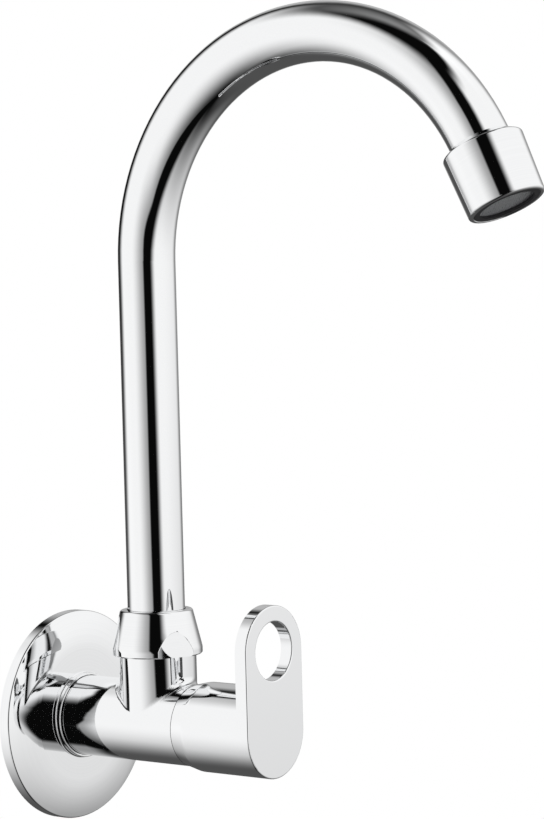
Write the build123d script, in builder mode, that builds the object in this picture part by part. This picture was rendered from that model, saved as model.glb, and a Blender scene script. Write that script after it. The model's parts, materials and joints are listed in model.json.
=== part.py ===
"""Wall-mounted kitchen sink tap with a swivel gooseneck spout and a quarter-turn lever handle.

The wall is the plane Y = 0. The tap reaches out from it along -Y, and +Z is up. The origin is
where the axis of the supply inlet crosses the wall. A station is a distance from the wall along
the body's axis, and a height is measured up from that axis. All sizes are in millimetres.
"""
import os
from math import cos, pi, radians, sin

from build123d import *

os.makedirs("parts", exist_ok=True)

# Clearances
RUNNING_CLEARANCE = 0.05
SEAL_CLEARANCE = 0.03
THREAD_CLEARANCE = 0.03
LOOSE_CLEARANCE = 0.3
FACE_GAP = 0.05

# Spout tube, a vertical riser and one bend
TUBE_DIAMETER = 19.5
TUBE_WALL = 1.2
RISER_REACH = 40.4
BEND_HEIGHT = 156.8
BEND_RADIUS = 71.6
BEND_ANGLE = 155.0

# Spout ferrule, brazed into the foot of the tube, and its rings
FERRULE_LAND = 1.85
FERRULE_COLLAR = 1.6
FERRULE_PLUG = 10.0
FERRULE_WALL = 2.0
FERRULE_LIFT = 0.2
RING_GROOVE_DEPTH = 1.45
RING_GROOVE_WIDTH = 2.0
RING_GROOVE_EDGE = 2.0
SLIP_RING_DEPTH = 0.9
SLIP_RING_WIDTH = 2.4
SLIP_RING_SPLIT = 1.5
FRICTION_WASHER = 0.8

# Boss of the body: the threaded neck, the socket for the spout and the waterway
NECK_LAND = 0.4
NECK_WALL = 3.4
NECK_HEIGHT = 8.3
BOSS_STEP = 1.2
BOSS_HEIGHT = 23.4
BOSS_MARGIN = 3.0
SOCKET_DEPTH = 14.5
SOCKET_FLOOR_GAP = 0.8
RISER_BORE = 12.0

# Body casting
BODY_STEP = 0.6
BODY_SHOULDER = 1.0
BODY_WALL = 3.32
BLEND_RADIUS = 2.5

# Inlet, a half-inch pipe thread drawn plain at the diameter over its crests
INLET_DIAMETER = 20.955
INLET_REACH = 17.0
INLET_CHAMFER = 0.9
INLET_BORE = 12.0

# Wall flange, spun from sheet
FLANGE_DIAMETER = 72.4
FLANGE_SHEET = 1.0
FLANGE_RIM = 3.9
FLANGE_RISE = 2.3
FLANGE_FLAT = 8.3
FLANGE_COLLAR = 1.9
FLANGE_COLLAR_WALL = 0.7
FLANGE_ROUND = 0.7
FLANGE_CLEARANCE = 0.2

# Spout nut
NUT_FOOT_STEP = 2.2
NUT_TOP_STEP = 2.55
NUT_LAND = 2.3
NUT_LIP = 4.35
NUT_FLAT_DEPTH = 1.5
NUT_FLAT_ANGLE = -23.5
NUT_FLAT_ROUND = 0.5
NUT_ROUND = 1.0
NUT_LAND_ROUND = 4.0
NUT_EDGE = 0.4

# Quarter-turn headwork in the body
SEAT_DEPTH = 27.3
CHAMBER_STEP = 0.58
CHAMBER_GAP = 1.0
HOUSING_WALL = 1.0
HOUSING_THREAD = 7.0
DISC_THICKNESS = 3.2
DISC_GAP = 0.1
SEAL_THICKNESS = 2.6
SEAL_WIDTH = 1.6
SEAL_PROUD = 1.0
LUG_WIDTH = 2.6
PORT_RADIUS = 4.4
PORT_WIDTH = 3.2
PORT_ARC = 40.0
WINDOW_WIDTH = 7.0
WINDOW_EDGE = 0.4
GASKET_THICKNESS = 1.0
COLLAR_LAND = 1.1
COLLAR_THICKNESS = 1.6
HEX_FLATS = 19.0
HEX_LENGTH = 4.6
HOUSING_NECK = 6.4
HOUSING_NECK_WALL = 2.85

# Spindle and what it carries
SPINDLE_DIAMETER = 9.0
FOOT_THICKNESS = 2.6
FOOT_WIDTH = 6.0
KEY_WIDTH = 3.0
KEY_DEPTH = 1.3
THRUST_WASHER = 0.8
SPINDLE_GROOVE_DEPTH = 1.2
SPINDLE_GROOVE_WIDTH = 1.7
SPINDLE_RING_LEAD = 5.0
SPINDLE_RING_PITCH = 5.5
STOP_LENGTH = 2.0
STOP_RING_WALL = 0.8
STOP_TAB_ANGLE = 40.0
STOP_PLAY = 2.0
HANDLE_TURN = 90.0
CIRCLIP_THICKNESS = 0.8
CIRCLIP_GROOVE_DEPTH = 0.6
CIRCLIP_WIDTH = 1.8
CIRCLIP_MOUTH = 70.0
SPLINE_TEETH = 20
SPLINE_STEP = 0.5
SPLINE_DEPTH = 0.45
SPLINE_LENGTH = 9.6
SPLINE_LEAD = 0.6

# Handle, a hollow barrel and an upright plate with a finger hole
HANDLE_GAP = 0.2
BARREL_STEP = 1.3
BARREL_RAMP = 5.8
BARREL_ROUND = 6.0
CAVITY_GAP = 1.0
HUB_WALL = 1.9
BUSH_WALL = 1.5
FRONT_WALL = 6.8
LEVER_HEIGHT = 27.2
LEVER_THICKNESS = 4.6
LEVER_RIM = 5.35
LEVER_EDGE = 0.5

# Grub screw under the barrel, and its cap
GRUB_DIAMETER = 4.0
GRUB_LENGTH = 8.0
GRUB_POINT = 0.9
GRUB_SOCKET = 2.0
GRUB_SOCKET_DEPTH = 2.4
GRUB_BOSS_WALL = 1.6
CAP_STEP = 0.3
CAP_DEPTH = 1.8

# Nozzle at the end of the tube
NOZZLE_OVERLAP = 2.8
NOZZLE_STEP = 3.4
NOZZLE_TAPER = 0.65
NOZZLE_SHOULDER = 2.0
NOZZLE_LENGTH = 22.2
NOZZLE_WALL = 1.5
NOZZLE_EDGE = 0.9
MOUTH_CHAMFER = 0.15
NOZZLE_SOCKET = 7.7
NOZZLE_LEDGE = 2.0
NOZZLE_LEDGE_WIDTH = 1.45

# Aerator in the nozzle
AERATOR_RECESS = 0.1
AERATOR_WASHER = 1.6
AERATOR_WASHER_WIDTH = 2.6
AERATOR_SHELL_WALL = 1.2
AERATOR_LIP = 1.0
AERATOR_LIP_WIDTH = 0.7
SCREEN_THICKNESS = 0.4
SCREEN_PITCH = 1.2
SCREEN_WIRE = 0.35
SCREEN_BORDER = 0.7
DIFFUSER_THICKNESS = 1.8
DIFFUSER_HOLE = 1.1
DIFFUSER_RING_RADII = (3.2, 6.4)
DIFFUSER_RING_HOLES = (8, 16)
CORE_WALL = 1.1
CORE_PLATE = 1.6
CORE_CENTRE_HOLE = 4.4
CORE_RING_HOLE = 2.2
CORE_RING_RADIUS = 5.4
CORE_RING_HOLES = 10

# Ways of drawing: how far a cut runs past what it cuts, and the sides of a wedge's outer edge
PAST_EDGE = 3.0
WEDGE_SIDES = 3

# Direction of the stop ring's tab while the tap is closed, in degrees from +X towards +Z
TAB_CLOSED = 90.0

# Radii of the spout and the boss, from the tube outwards
TUBE_RADIUS = TUBE_DIAMETER / 2
TUBE_BORE_RADIUS = TUBE_RADIUS - TUBE_WALL
FERRULE_COLLAR_RADIUS = TUBE_RADIUS + FERRULE_LAND
NECK_RADIUS = FERRULE_COLLAR_RADIUS + NECK_LAND
SOCKET_RADIUS = NECK_RADIUS - NECK_WALL
SPIGOT_RADIUS = SOCKET_RADIUS - RUNNING_CLEARANCE
FERRULE_BORE_RADIUS = SPIGOT_RADIUS - FERRULE_WALL
NUT_BORE_RADIUS = NECK_RADIUS + THREAD_CLEARANCE
BOSS_RADIUS = NECK_RADIUS + BOSS_STEP
BODY_RADIUS = BOSS_RADIUS + BODY_STEP
RISER_BORE_RADIUS = RISER_BORE / 2
INLET_RADIUS = INLET_DIAMETER / 2

# Radii of the headwork, from the body inwards
CARTRIDGE_THREAD_RADIUS = BODY_RADIUS - BODY_WALL
CHAMBER_RADIUS = CARTRIDGE_THREAD_RADIUS - CHAMBER_STEP
HOUSING_RADIUS = CHAMBER_RADIUS - CHAMBER_GAP
DISC_BORE_RADIUS = HOUSING_RADIUS - HOUSING_WALL
DISC_RADIUS = DISC_BORE_RADIUS - DISC_GAP
MOVING_DISC_RADIUS = DISC_BORE_RADIUS - LOOSE_CLEARANCE
HOUSING_COLLAR_RADIUS = CARTRIDGE_THREAD_RADIUS + COLLAR_LAND
SPINDLE_RADIUS = SPINDLE_DIAMETER / 2
SPINDLE_BORE_RADIUS = SPINDLE_RADIUS + RUNNING_CLEARANCE
HOUSING_NECK_RADIUS = SPINDLE_BORE_RADIUS + HOUSING_NECK_WALL
STOP_RING_RADIUS = SPINDLE_RADIUS + STOP_RING_WALL
STOP_BORE_RADIUS = STOP_RING_RADIUS + LOOSE_CLEARANCE
STOP_TAB_RADIUS = HOUSING_NECK_RADIUS - LOOSE_CLEARANCE

# Stations along the body's axis
BODY_FRONT = RISER_REACH + BOSS_RADIUS + BOSS_MARGIN
SEAT_STATION = BODY_FRONT - SEAT_DEPTH
THREAD_REAR = BODY_FRONT - HOUSING_THREAD
HOUSING_REAR = SEAT_STATION + SEAL_PROUD
FIXED_DISC_REAR = SEAT_STATION + SEAL_THICKNESS
MOVING_DISC_REAR = FIXED_DISC_REAR + DISC_THICKNESS
FOOT_REAR = MOVING_DISC_REAR + DISC_THICKNESS
FOOT_FRONT = FOOT_REAR + FOOT_THICKNESS
DISC_BORE_FRONT = FOOT_FRONT + THRUST_WASHER + FACE_GAP
COLLAR_REAR = BODY_FRONT + GASKET_THICKNESS
HEX_REAR = COLLAR_REAR + COLLAR_THICKNESS
HEX_FRONT = HEX_REAR + HEX_LENGTH
STOP_REAR = HEX_FRONT + HOUSING_NECK
STOP_FRONT = STOP_REAR + STOP_LENGTH
CIRCLIP_REAR = STOP_FRONT + LOOSE_CLEARANCE
CIRCLIP_FRONT = CIRCLIP_REAR + CIRCLIP_THICKNESS
SPLINE_REAR = CIRCLIP_FRONT + LOOSE_CLEARANCE
SPLINE_FRONT = SPLINE_REAR + SPLINE_LENGTH
HANDLE_REAR = BODY_FRONT + HANDLE_GAP
HUB_REAR = SPLINE_REAR + SPLINE_LEAD
HUB_FLOOR = SPLINE_FRONT + SPLINE_LEAD
HANDLE_FRONT = HUB_FLOOR + FRONT_WALL
LEVER_BACK = HANDLE_FRONT - LEVER_THICKNESS
GRUB_STATION = (SPLINE_REAR + SPLINE_FRONT) / 2

# Radii of the handle
SPLINE_RADIUS = SPINDLE_RADIUS - SPLINE_STEP
BUSH_RADIUS = SPLINE_RADIUS + RUNNING_CLEARANCE + BUSH_WALL
HUB_BORE_RADIUS = BUSH_RADIUS + RUNNING_CLEARANCE
HUB_RADIUS = HUB_BORE_RADIUS + HUB_WALL
CAVITY_RADIUS = HOUSING_COLLAR_RADIUS + CAVITY_GAP
BARREL_RADIUS = BODY_RADIUS + BARREL_STEP
FINGER_HOLE_RADIUS = BARREL_RADIUS - LEVER_RIM
GRUB_RADIUS = GRUB_DIAMETER / 2
GRUB_HOLE_RADIUS = GRUB_RADIUS + THREAD_CLEARANCE
CAP_RADIUS = GRUB_RADIUS + CAP_STEP

# Heights on the riser's axis
NECK_TOP = BOSS_HEIGHT + NECK_HEIGHT
SOCKET_FLOOR = NECK_TOP - SOCKET_DEPTH
SPIGOT_FOOT = SOCKET_FLOOR + SOCKET_FLOOR_GAP
COLLAR_FOOT = NECK_TOP + FERRULE_LIFT
COLLAR_TOP = COLLAR_FOOT + FERRULE_COLLAR
FRICTION_FOOT = COLLAR_TOP + FACE_GAP
LIP_FOOT = FRICTION_FOOT + FRICTION_WASHER
NUT_TOP = LIP_FOOT + NUT_LIP
NUT_FOOT_RADIUS = BOSS_RADIUS + NUT_FOOT_STEP
NUT_TOP_RADIUS = TUBE_RADIUS + NUT_TOP_STEP
RING_RADIUS = (2 * SPIGOT_RADIUS - RING_GROOVE_DEPTH + RUNNING_CLEARANCE) / 2
RING_CORD_RADIUS = (RING_GROOVE_DEPTH + RUNNING_CLEARANCE) / 2 - SEAL_CLEARANCE
LOWER_GROOVE = SPIGOT_FOOT + RING_GROOVE_EDGE
UPPER_GROOVE = COLLAR_FOOT - RING_GROOVE_EDGE - RING_GROOVE_WIDTH
SLIP_GROOVE = (LOWER_GROOVE + UPPER_GROOVE + RING_GROOVE_WIDTH - SLIP_RING_WIDTH) / 2

# Planes and axes: a section's first direction is the radius, its second runs along the axis
BODY_AXIS = Axis((0, 0, 0), (0, -1, 0))
BODY_SECTION = Plane((0, 0, 0), x_dir=(1, 0, 0), z_dir=(0, 0, -1))
RISER_AXIS = Axis((0, -RISER_REACH, 0), (0, 0, 1))
RISER_SECTION = Plane((0, -RISER_REACH, 0), x_dir=(1, 0, 0), z_dir=(0, -1, 0))
RISER_FOOT = Plane((0, -RISER_REACH, 0), x_dir=(1, 0, 0), z_dir=(0, 0, 1))
SPOUT_PLANE = Plane((0, -RISER_REACH, 0), x_dir=(0, -1, 0), z_dir=(-1, 0, 0))
UNDER_BARREL = Plane((0, -GRUB_STATION, 0), x_dir=(1, 0, 0), z_dir=(0, 0, -1))

# Where the bend ends, and the direction of the water there
OUTLET_TURN = radians(BEND_ANGLE)
OUTLET_POINT = Vector(
    0,
    -RISER_REACH - BEND_RADIUS * (1 - cos(OUTLET_TURN)),
    BEND_HEIGHT + BEND_RADIUS * sin(OUTLET_TURN),
)
OUTLET_WAY = Vector(0, -sin(OUTLET_TURN), cos(OUTLET_TURN))
OUTLET_AXIS = Axis(OUTLET_POINT, OUTLET_WAY)
OUTLET_SECTION = Plane(OUTLET_POINT, x_dir=(1, 0, 0), z_dir=Vector(1, 0, 0).cross(OUTLET_WAY))
OUTLET_FACE = Plane(OUTLET_POINT, x_dir=(1, 0, 0), z_dir=OUTLET_WAY)

# Places along the outlet's axis, from the end of the bend. The nozzle reaches back over the bend's
# last stretch, so its socket makes room for how far the bend leaves the axis there.
NOZZLE_START = -NOZZLE_OVERLAP
NOZZLE_SOCKET_RADIUS = TUBE_RADIUS + SEAL_CLEARANCE + NOZZLE_OVERLAP**2 / (2 * BEND_RADIUS)
NOZZLE_RADIUS = TUBE_RADIUS + NOZZLE_STEP
NOZZLE_MOUTH_RADIUS = NOZZLE_RADIUS - NOZZLE_TAPER
NOZZLE_MOUTH = NOZZLE_START + NOZZLE_LENGTH
TUBE_END = NOZZLE_START + NOZZLE_SOCKET
LEDGE_END = TUBE_END + NOZZLE_LEDGE
LEDGE_BORE_RADIUS = TUBE_RADIUS - NOZZLE_LEDGE_WIDTH
AERATOR_RADIUS = NOZZLE_MOUTH_RADIUS - NOZZLE_WALL
SHELL_RADIUS = AERATOR_RADIUS - THREAD_CLEARANCE
SHELL_BORE_RADIUS = SHELL_RADIUS - AERATOR_SHELL_WALL
INSERT_RADIUS = SHELL_BORE_RADIUS - RUNNING_CLEARANCE
SHELL_START = LEDGE_END + AERATOR_WASHER
SHELL_END = NOZZLE_MOUTH - AERATOR_RECESS
FILTER_START = SHELL_START + FACE_GAP
DIFFUSER_START = FILTER_START + SCREEN_THICKNESS
CORE_START = DIFFUSER_START + DIFFUSER_THICKNESS
SCREENS_END = SHELL_END - AERATOR_LIP
SCREENS_START = SCREENS_END - 2 * SCREEN_THICKNESS - FACE_GAP


def turn(section, axis, points, mode=Mode.ADD):
    """Turn a closed outline about an axis. Each point is a radius and a place on the axis."""
    with BuildSketch(section) as outline:
        with BuildLine():
            Polyline(*points, close=True)
        make_face()
    revolve(outline.sketch, axis=axis, mode=mode)


def turn_ring(section, axis, inner, outer, low, high, mode=Mode.ADD):
    """Turn a ring of rectangular section."""
    turn(section, axis, ((inner, low), (outer, low), (outer, high), (inner, high)), mode)


def toothed_face(tip_radius, root_radius):
    """Draw a spline's toothed outline in the open sketch."""
    points = []
    for half_tooth in range(2 * SPLINE_TEETH):
        radius = root_radius if half_tooth % 2 else tip_radius
        angle = pi * half_tooth / SPLINE_TEETH
        points.append((radius * cos(angle), radius * sin(angle)))
    with BuildLine() as outline:
        Polyline(*points, close=True)
    make_face(outline.edges())


def sector_face(reach, start_angle, size, mode):
    """Draw a wedge in the open sketch, from its centre out past a radius."""
    points = [(0, 0)]
    for step in range(WEDGE_SIDES + 1):
        angle = radians(start_angle + size * step / WEDGE_SIDES)
        points.append((PAST_EDGE * reach * cos(angle), PAST_EDGE * reach * sin(angle)))
    with BuildLine() as outline:
        Polyline(*points, close=True)
    make_face(outline.edges(), mode=mode)


def disc_ports(centre_angle):
    """Cut the two curved ports of a ceramic disc in the open sketch."""
    for side in (0, 180):
        start = centre_angle + side - PORT_ARC / 2
        centre_line = CenterArc((0, 0), PORT_RADIUS, start, PORT_ARC, mode=Mode.PRIVATE)
        SlotArc(centre_line, PORT_WIDTH, mode=Mode.SUBTRACT)


def screen_face(radius, turned):
    """Draw one woven screen in the open sketch: a disc with a square hole in every mesh."""
    hole = SCREEN_PITCH - SCREEN_WIRE
    count = int(radius / SCREEN_PITCH)
    places = []
    for row in range(-count, count + 1):
        for column in range(-count, count + 1):
            spot = Vector(column * SCREEN_PITCH, row * SCREEN_PITCH)
            corner = Vector(abs(spot.X) + hole / 2, abs(spot.Y) + hole / 2)
            if corner.length < radius - SCREEN_BORDER:
                places.append(spot.rotate(Axis.Z, turned))
    Circle(radius)
    with Locations(*places):
        Rectangle(hole, hole, rotation=turned, mode=Mode.SUBTRACT)


def nearest_corner(sketch, radius, place):
    """Choose the corner of an open sketch that lies nearest to a radius and a place."""
    return sketch.vertices().sort_by_distance((radius, place, 0))[0]


def write(part, name):
    """Label a finished piece and write its file."""
    part.label = name
    export_step(part, f"parts/{name}.step")


# Wall flange: rim, rounded shoulder, flat ring and a short collar round the body
with BuildPart() as wall_flange:
    flange_radius = FLANGE_DIAMETER / 2
    hole_radius = BODY_RADIUS + FLANGE_CLEARANCE
    collar_radius = hole_radius + FLANGE_COLLAR_WALL
    flat_radius = collar_radius + FLANGE_FLAT
    crown = FLANGE_RIM + FLANGE_RISE
    inner_crown = crown - FLANGE_SHEET
    with BuildSketch(BODY_SECTION) as flange_section:
        with BuildLine():
            rim = Line((flange_radius, 0), (flange_radius, FLANGE_RIM))
            TangentArc((flat_radius, crown), rim @ 1, tangent=(1, 0))
            Polyline(
                (flat_radius, crown),
                (collar_radius, crown),
                (collar_radius, crown + FLANGE_COLLAR),
                (hole_radius, crown + FLANGE_COLLAR),
                (hole_radius, inner_crown),
                (flat_radius, inner_crown),
            )
            inner_rim = (flange_radius - FLANGE_SHEET, FLANGE_RIM - FLANGE_SHEET)
            TangentArc((flat_radius, inner_crown), inner_rim, tangent=(1, 0))
            Polyline(inner_rim, (flange_radius - FLANGE_SHEET, 0), rim @ 0)
        make_face()
        fillet(nearest_corner(flange_section, flange_radius, FLANGE_RIM), FLANGE_ROUND)
        fillet(nearest_corner(flange_section, collar_radius, crown), FLANGE_COLLAR_WALL / 2)
        fillet(nearest_corner(flange_section, collar_radius, crown + FLANGE_COLLAR), FLANGE_COLLAR_WALL / 2)
    revolve(axis=BODY_AXIS)
write(wall_flange.part, "wall_flange")

# Body casting: barrel and boss blended together, faced, joined to the inlet and bored
with BuildPart() as tap_body:
    with BuildSketch(Plane.XZ.offset(BODY_SHOULDER)):
        Circle(BODY_RADIUS)
    extrude(amount=BODY_FRONT - BODY_SHOULDER + 2 * BLEND_RADIUS)
    with BuildSketch(RISER_FOOT):
        Circle(BOSS_RADIUS)
    extrude(amount=BOSS_HEIGHT)
    joint_edges = tap_body.edges(Select.NEW)
    joint_edges = joint_edges.filter_by(GeomType.CIRCLE, reverse=True)
    fillet(joint_edges.filter_by(GeomType.LINE, reverse=True), BLEND_RADIUS)
    with BuildSketch(Plane.XZ.offset(BODY_FRONT)):
        Circle(PAST_EDGE * BODY_RADIUS)
    extrude(amount=PAST_EDGE * BLEND_RADIUS, mode=Mode.SUBTRACT)

    with BuildSketch(RISER_FOOT.offset(BOSS_HEIGHT)):
        Circle(NECK_RADIUS)
    extrude(amount=NECK_HEIGHT)
    turn(
        BODY_SECTION,
        BODY_AXIS,
        (
            (0, -INLET_REACH),
            (INLET_RADIUS - INLET_CHAMFER, -INLET_REACH),
            (INLET_RADIUS, INLET_CHAMFER - INLET_REACH),
            (INLET_RADIUS, BODY_SHOULDER),
            (0, BODY_SHOULDER),
        ),
    )

    turn(
        BODY_SECTION,
        BODY_AXIS,
        (
            (0, -INLET_REACH),
            (INLET_BORE / 2, -INLET_REACH),
            (INLET_BORE / 2, SEAT_STATION),
            (CHAMBER_RADIUS, SEAT_STATION),
            (CHAMBER_RADIUS, THREAD_REAR),
            (CARTRIDGE_THREAD_RADIUS + THREAD_CLEARANCE, THREAD_REAR),
            (CARTRIDGE_THREAD_RADIUS + THREAD_CLEARANCE, BODY_FRONT),
            (0, BODY_FRONT),
        ),
        Mode.SUBTRACT,
    )
    turn(
        RISER_SECTION,
        RISER_AXIS,
        (
            (0, 0),
            (RISER_BORE_RADIUS, 0),
            (RISER_BORE_RADIUS, SOCKET_FLOOR),
            (SOCKET_RADIUS, SOCKET_FLOOR),
            (SOCKET_RADIUS, NECK_TOP),
            (0, NECK_TOP),
        ),
        Mode.SUBTRACT,
    )
write(tap_body.part, "tap_body")

# Spout nut: cone, short land, threaded bore, lip over the ferrule and two spanner flats
with BuildPart() as spout_nut:
    with BuildSketch(RISER_SECTION) as nut_section:
        with BuildLine():
            Polyline(
                (NUT_BORE_RADIUS, BOSS_HEIGHT),
                (NUT_FOOT_RADIUS, BOSS_HEIGHT),
                (NUT_FOOT_RADIUS, BOSS_HEIGHT + NUT_LAND),
                (NUT_TOP_RADIUS, NUT_TOP),
                (TUBE_RADIUS + LOOSE_CLEARANCE, NUT_TOP),
                (TUBE_RADIUS + LOOSE_CLEARANCE, LIP_FOOT),
                (NUT_BORE_RADIUS, LIP_FOOT),
                close=True,
            )
        make_face()
        fillet(nearest_corner(nut_section, NUT_TOP_RADIUS, NUT_TOP), NUT_ROUND)
        chamfer(nearest_corner(nut_section, NUT_FOOT_RADIUS, BOSS_HEIGHT), NUT_EDGE)
        fillet(nearest_corner(nut_section, NUT_FOOT_RADIUS, BOSS_HEIGHT + NUT_LAND), NUT_LAND_ROUND)
    revolve(axis=RISER_AXIS)
    flats_across = 2 * (NUT_FOOT_RADIUS - NUT_FLAT_DEPTH)
    past_nut = PAST_EDGE * NUT_FOOT_RADIUS
    with BuildSketch(RISER_FOOT.offset(BOSS_HEIGHT)):
        Circle(past_nut)
        Rectangle(2 * past_nut, flats_across, rotation=NUT_FLAT_ANGLE, mode=Mode.SUBTRACT)
    extrude(amount=NUT_TOP - BOSS_HEIGHT, mode=Mode.SUBTRACT)
    flats = spout_nut.faces().filter_by(GeomType.PLANE).filter_by(Axis.Z, reverse=True)
    arches = flats.edges().filter_by(lambda edge: edge.center().Z > BOSS_HEIGHT + NUT_EDGE)
    fillet(arches, NUT_FLAT_ROUND)
write(spout_nut.part, "spout_nut")

# Friction washer between the ferrule's collar and the nut's lip
with BuildPart() as nut_friction_washer:
    washer_bore = TUBE_RADIUS + LOOSE_CLEARANCE
    turn_ring(RISER_SECTION, RISER_AXIS, washer_bore, FERRULE_COLLAR_RADIUS, FRICTION_FOOT, LIP_FOOT)
write(nut_friction_washer.part, "nut_friction_washer")

# Spout tube: riser, bend and the straight end that enters the nozzle
with BuildPart() as spout_tube:
    with BuildLine(SPOUT_PLANE) as tube_path:
        riser = Line((0, COLLAR_TOP), (0, BEND_HEIGHT))
        bend = JernArc(start=riser @ 1, tangent=(0, 1), radius=BEND_RADIUS, arc_size=-BEND_ANGLE)
        Line(bend @ 1, bend @ 1 + (bend % 1) * TUBE_END)
    with BuildSketch(RISER_FOOT.offset(COLLAR_TOP)):
        Circle(TUBE_RADIUS)
        Circle(TUBE_BORE_RADIUS, mode=Mode.SUBTRACT)
    sweep(path=tube_path.wires()[0])
write(spout_tube.part, "spout_tube")

# Ferrule: plug in the tube, collar under the nut and a grooved spigot in the socket
with BuildPart() as spout_ferrule:
    ring_groove_radius = SPIGOT_RADIUS - RING_GROOVE_DEPTH
    slip_groove_radius = SPIGOT_RADIUS - SLIP_RING_DEPTH
    plug_radius = TUBE_BORE_RADIUS - SEAL_CLEARANCE
    turn_ring(RISER_SECTION, RISER_AXIS, FERRULE_BORE_RADIUS, SPIGOT_RADIUS, SPIGOT_FOOT, COLLAR_FOOT)
    turn_ring(RISER_SECTION, RISER_AXIS, FERRULE_BORE_RADIUS, FERRULE_COLLAR_RADIUS, COLLAR_FOOT, COLLAR_TOP)
    turn_ring(
        RISER_SECTION, RISER_AXIS, FERRULE_BORE_RADIUS, plug_radius, COLLAR_TOP, COLLAR_TOP + FERRULE_PLUG
    )
    for groove in (LOWER_GROOVE, UPPER_GROOVE):
        turn_ring(
            RISER_SECTION,
            RISER_AXIS,
            ring_groove_radius,
            SOCKET_RADIUS,
            groove,
            groove + RING_GROOVE_WIDTH,
            Mode.SUBTRACT,
        )
    turn_ring(
        RISER_SECTION,
        RISER_AXIS,
        slip_groove_radius,
        SOCKET_RADIUS,
        SLIP_GROOVE,
        SLIP_GROOVE + SLIP_RING_WIDTH,
        Mode.SUBTRACT,
    )
write(spout_ferrule.part, "spout_ferrule")

# O-rings on the ferrule
with BuildPart() as spout_o_rings:
    for groove in (LOWER_GROOVE, UPPER_GROOVE):
        with Locations((0, -RISER_REACH, groove + RING_GROOVE_WIDTH / 2)):
            Torus(RING_RADIUS, RING_CORD_RADIUS)
write(spout_o_rings.part, "spout_o_rings")

# Split guide ring between the O-rings
with BuildPart() as spout_slip_ring:
    turn_ring(
        RISER_SECTION,
        RISER_AXIS,
        slip_groove_radius + SEAL_CLEARANCE,
        SPIGOT_RADIUS,
        SLIP_GROOVE + SEAL_CLEARANCE,
        SLIP_GROOVE + SLIP_RING_WIDTH - SEAL_CLEARANCE,
    )
    with BuildSketch(RISER_FOOT.offset(SLIP_GROOVE)):
        with Locations((SPIGOT_RADIUS, 0)):
            Rectangle(SPIGOT_RADIUS, SLIP_RING_SPLIT)
    extrude(amount=SLIP_RING_WIDTH, mode=Mode.SUBTRACT)
write(spout_slip_ring.part, "spout_slip_ring")

# Headwork housing: ported cup round the discs, thread, collar, hexagon, neck and stops
with BuildPart() as cartridge_housing:
    turn(
        BODY_SECTION,
        BODY_AXIS,
        (
            (DISC_BORE_RADIUS, HOUSING_REAR),
            (HOUSING_RADIUS, HOUSING_REAR),
            (HOUSING_RADIUS, THREAD_REAR),
            (CARTRIDGE_THREAD_RADIUS, THREAD_REAR),
            (CARTRIDGE_THREAD_RADIUS, COLLAR_REAR),
            (HOUSING_COLLAR_RADIUS, COLLAR_REAR),
            (HOUSING_COLLAR_RADIUS, HEX_REAR),
            (HOUSING_NECK_RADIUS, HEX_REAR),
            (HOUSING_NECK_RADIUS, STOP_REAR),
            (SPINDLE_BORE_RADIUS, STOP_REAR),
            (SPINDLE_BORE_RADIUS, DISC_BORE_FRONT),
            (DISC_BORE_RADIUS, DISC_BORE_FRONT),
        ),
    )
    with BuildSketch(Plane.XZ.offset(HEX_REAR)):
        RegularPolygon(HEX_FLATS / 2, 6, major_radius=False)
        Circle(SPINDLE_BORE_RADIUS, mode=Mode.SUBTRACT)
    extrude(amount=HEX_LENGTH)
    swept_start = TAB_CLOSED - STOP_TAB_ANGLE / 2 - STOP_PLAY
    swept_size = HANDLE_TURN + STOP_TAB_ANGLE + 2 * STOP_PLAY
    with BuildSketch(Plane.XZ.offset(STOP_REAR)):
        Circle(HOUSING_NECK_RADIUS)
        Circle(STOP_BORE_RADIUS, mode=Mode.SUBTRACT)
        sector_face(HOUSING_NECK_RADIUS, swept_start, swept_size, Mode.SUBTRACT)
    extrude(amount=STOP_LENGTH)
    with BuildSketch(Plane.XZ.offset(MOVING_DISC_REAR + WINDOW_EDGE)):
        for window_turn in (0, 90):
            Rectangle(PAST_EDGE * HOUSING_RADIUS, WINDOW_WIDTH, rotation=window_turn)
        Circle(DISC_BORE_RADIUS, mode=Mode.SUBTRACT)
    extrude(amount=DISC_BORE_FRONT - MOVING_DISC_REAR - 2 * WINDOW_EDGE, mode=Mode.SUBTRACT)
    with BuildSketch(Plane.XZ.offset(HOUSING_REAR)):
        Rectangle(PAST_EDGE * HOUSING_RADIUS, LUG_WIDTH + 2 * DISC_GAP)
        Circle(DISC_BORE_RADIUS, mode=Mode.SUBTRACT)
    extrude(amount=MOVING_DISC_REAR - HOUSING_REAR, mode=Mode.SUBTRACT)
write(cartridge_housing.part, "cartridge_housing")

# Gasket between the headwork's collar and the front of the body
with BuildPart() as housing_gasket:
    gasket_bore = CARTRIDGE_THREAD_RADIUS + THREAD_CLEARANCE
    turn_ring(BODY_SECTION, BODY_AXIS, gasket_bore, HOUSING_COLLAR_RADIUS, BODY_FRONT, COLLAR_REAR)
write(housing_gasket.part, "housing_gasket")

# Rubber seal between the fixed disc and the seat in the body
with BuildPart() as seat_seal:
    turn_ring(
        BODY_SECTION, BODY_AXIS, DISC_RADIUS - SEAL_WIDTH, DISC_RADIUS, SEAT_STATION, FIXED_DISC_REAR
    )
write(seat_seal.part, "seat_seal")

# Fixed ceramic disc, with two lugs in the housing's slots
with BuildPart() as fixed_disc:
    with BuildSketch(Plane.XZ.offset(FIXED_DISC_REAR)):
        Circle(DISC_RADIUS)
        Rectangle(2 * (HOUSING_RADIUS - DISC_GAP), LUG_WIDTH)
        disc_ports(0)
    extrude(amount=DISC_THICKNESS - FACE_GAP)
write(fixed_disc.part, "fixed_disc")

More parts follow.
